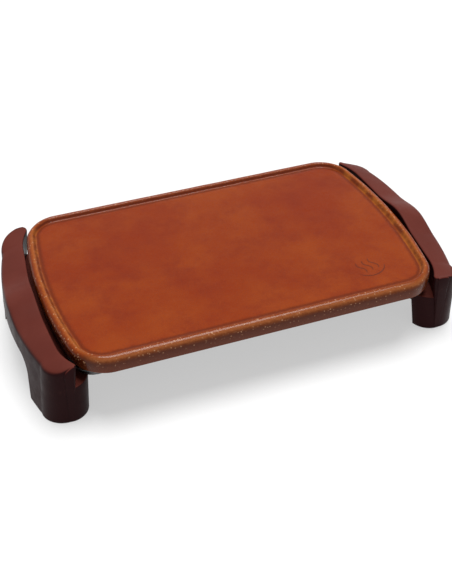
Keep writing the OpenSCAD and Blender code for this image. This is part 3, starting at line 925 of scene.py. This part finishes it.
def heated_sheath():
    m = Nodes("heated_sheath")
    bands = m.noise(24, 5, 0.7)
    grain = m.noise(900, 3, 0.7)
    colour = m.ramp(bands, [
        (0.3, srgb(62, 60, 60)),
        (0.45, srgb(82, 70, 62)),
        (0.58, srgb(66, 60, 70)),
        (0.7, srgb(96, 92, 90)),
    ])
    colour = m.mix(m.span(grain, 0.4, 0.6, 0, 0.4), colour, srgb(40, 36, 36))
    m.set("Base Color", colour)
    m.set("Metallic", 0.85)
    m.set("Roughness", m.span(grain, 0.3, 0.7, 0.38, 0.6))
    m.set("Normal", m.bump(grain, 0.05))
    return m.material


def zinc_steel():
    m = Nodes("zinc_steel")
    lines = m.noise(420, 4, 0.7, (1.0, 9.0, 1.0))
    cloud = m.noise(50, 4)
    colour = m.mix(m.span(cloud, 0.3, 0.7), srgb(168, 170, 174), srgb(196, 194, 186))
    dull = m.math("MULTIPLY", m.span(m.noise(260, 5), 0.58, 0.75), 0.4)
    colour = m.mix(dull, colour, srgb(120, 112, 100))
    m.set("Base Color", colour)
    m.set("Metallic", 1.0)
    m.set("Roughness", m.span(lines, 0.3, 0.7, 0.25, 0.45))
    m.set("Normal", m.bump(lines, 0.03, m.soft_edges(0.25)))
    return m.material


def nickel():
    m = Nodes("nickel")
    lines = m.noise(800, 3, 0.6, (12.0, 1.0, 1.0))
    cloud = m.noise(200, 3)
    m.set("Base Color", m.mix(m.span(cloud, 0.3, 0.7), srgb(206, 200, 188), srgb(184, 178, 166)))
    m.set("Metallic", 1.0)
    m.set("Roughness", m.span(lines, 0.3, 0.7, 0.14, 0.28))
    m.set("Normal", m.bump(lines, 0.01))
    return m.material


def silicone_rubber():
    m = Nodes("silicone_rubber")
    grain = m.noise(1400, 3, 0.7)
    dust = m.noise(90, 5, 0.7)
    colour = m.mix(m.span(dust, 0.45, 0.75, 0, 0.5), srgb(24, 24, 25), srgb(58, 56, 54))
    m.set("Base Color", colour)
    m.set("Roughness", m.span(grain, 0.3, 0.7, 0.68, 0.85))
    m.set("Normal", m.bump(grain, 0.06, m.soft_edges(0.4)))
    return m.material


def bare_ceramic():
    m = Nodes("bare_ceramic")
    grain = m.noise(1100, 4, 0.7)
    colour = m.mix(m.span(grain, 0.35, 0.7), srgb(232, 226, 208), srgb(206, 196, 172))
    m.set("Base Color", colour)
    m.set("Roughness", m.span(grain, 0.3, 0.7, 0.55, 0.75))
    m.set("Normal", m.bump(grain, 0.05))
    return m.material


def phenolic():
    m = Nodes("phenolic")
    grain = m.noise(1500, 3, 0.7)
    cloud = m.noise(40, 4)
    m.set("Base Color", m.mix(m.span(cloud, 0.3, 0.7), srgb(26, 25, 25), srgb(40, 38, 37)))
    m.set("Roughness", m.span(grain, 0.3, 0.7, 0.42, 0.6))
    m.set("Normal", m.bump(grain, 0.04, m.soft_edges(0.5)))
    return m.material


SLOT_MATERIALS = {
    "handle_plastic": moulded_plastic(),
    "black_enamel": enamelled_steel(),
    "reflector": sheet_aluminium(),
    "element_sheath": heated_sheath(),
    "steel": zinc_steel(),
    "pin_metal": nickel(),
    "rubber": silicone_rubber(),
    "insulator_ceramic": bare_ceramic(),
    "inlet_plastic": phenolic(),
}
glaze = glazed_terracotta()

# ---- pieces ----

plate = build_plate()
paint(plate, glaze)
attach(plate, "plate")
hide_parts("griddle_plate")

ornament = build_ornament()
paint(ornament, incised_glaze())
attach(ornament, "plate")

for end_name, end_side, cad_node in (
    ("moulded_end_left", -1, "left_end_shell"), ("moulded_end_right", 1, "right_end_shell"),
):
    moulded_end = build_end(end_name, end_side)
    paint(moulded_end, SLOT_MATERIALS["handle_plastic"])
    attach(moulded_end, "base")
    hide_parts(cad_node)

for part in frame["record"]["subparts"]:
    if part["material_slot"] in SLOT_MATERIALS and not nodes[part["node"]].hide_render:
        paint(nodes[part["node"]], SLOT_MATERIALS[part["material_slot"]])
        smooth(nodes[part["node"]], 30)

# ---- floor, lights and camera ----

WHITE = (1.0, 1.0, 1.0)
FLOOR_HALF_L = 3000.0
FLOOR_FRONT = -3000.0
FLOOR_REAR = 4000.0
FLOOR_T = 20.0
FLOOR_GLOW = 0.5
SUN_WIDTH = math.radians(35)
SUN_TILT = (math.radians(-4), math.radians(6), 0)
BACK_LIGHT_POWER = 1.0             # watts
BACK_LIGHT_SIZE = (1.4, 0.2)       # metres, as the next two are
BACK_LIGHT_AT = (0.45, 1.3, 0.5)
BACK_LIGHT_TO = (0.0, 0.1, 0.09)


def emitter(name, energy, size, place, target):
    """A soft rectangular light at place, in metres, that faces target."""
    data = bpy.data.lights.new(name, "AREA")
    data.energy = energy
    data.shape = "RECTANGLE"
    data.size, data.size_y = size
    lamp = bpy.data.objects.new(name, data)
    bpy.context.scene.collection.objects.link(lamp)
    lamp.location = place
    lamp.rotation_mode = "QUATERNION"
    lamp.rotation_quaternion = (Vector(target) - Vector(place)).to_track_quat("-Z", "Y")


def pale_floor():
    """A floor that glows a little, so that the shadow on it stays pale."""
    front, rear, half = FLOOR_FRONT, FLOOR_REAR, FLOOR_HALF_L
    outline = [(-half, front), (half, front), (half, rear), (-half, rear)]
    floor = prism("floor", outline, -FLOOR_T, 0)
    m = Nodes("pale_floor")
    cloud = m.noise(3, 3)
    m.set("Base Color", m.mix(m.span(cloud, 0.3, 0.7), (0.3, 0.3, 0.3), (0.33, 0.33, 0.33)))
    m.set("Emission Color", WHITE)
    m.set("Emission Strength", FLOOR_GLOW)
    m.set("Roughness", m.span(cloud, 0.3, 0.7, 0.75, 0.85))
    paint(floor, m.material)


pale_floor()
world = bpy.data.worlds.new("studio")
world.use_nodes = True
background = world.node_tree.nodes["Background"]
background.inputs["Color"].default_value = (*WHITE, 1)
background.inputs["Strength"].default_value = SKY
bpy.context.scene.world = world
bpy.context.scene.view_settings.view_transform = "Standard"

overhead = bpy.data.lights.new("overhead", "SUN")
overhead.energy = SUN
overhead.angle = SUN_WIDTH
overhead_lamp = bpy.data.objects.new("overhead", overhead)
bpy.context.scene.collection.objects.link(overhead_lamp)
overhead_lamp.rotation_euler = SUN_TILT
emitter("back", BACK_LIGHT_POWER, BACK_LIGHT_SIZE, BACK_LIGHT_AT, BACK_LIGHT_TO)

CAMERA_TARGET = Vector((-0.01102, -0.07737, 0.088))   # metres
CAMERA_AZIMUTH = math.radians(-19.87)
CAMERA_ELEVATION = math.radians(37.5)
CAMERA_DISTANCE = 1.26525
CAMERA_ROLL = math.radians(-0.87)
CAMERA_LENS = 67.12
CAMERA_SENSOR = 36.0
CAMERA_SHIFT = (-0.0194, -0.0052)

back = Vector((
    math.sin(CAMERA_AZIMUTH) * math.cos(CAMERA_ELEVATION),
    -math.cos(CAMERA_AZIMUTH) * math.cos(CAMERA_ELEVATION),
    math.sin(CAMERA_ELEVATION)))
level_right = Vector((math.cos(CAMERA_AZIMUTH), math.sin(CAMERA_AZIMUTH), 0))
level_up = back.cross(level_right)
right = level_right * math.cos(CAMERA_ROLL) + level_up * math.sin(CAMERA_ROLL)
up = level_up * math.cos(CAMERA_ROLL) - level_right * math.sin(CAMERA_ROLL)
camera_data = bpy.data.cameras.new("camera")
camera_data.sensor_width = CAMERA_SENSOR
camera_data.lens = CAMERA_LENS
camera_data.shift_x, camera_data.shift_y = CAMERA_SHIFT
camera = bpy.data.objects.new("camera", camera_data)
bpy.context.scene.collection.objects.link(camera)
facing = Matrix((right, up, back)).transposed().to_4x4()
camera.matrix_world = Matrix.Translation(CAMERA_TARGET + back * CAMERA_DISTANCE) @ facing
bpy.context.scene.camera = camera
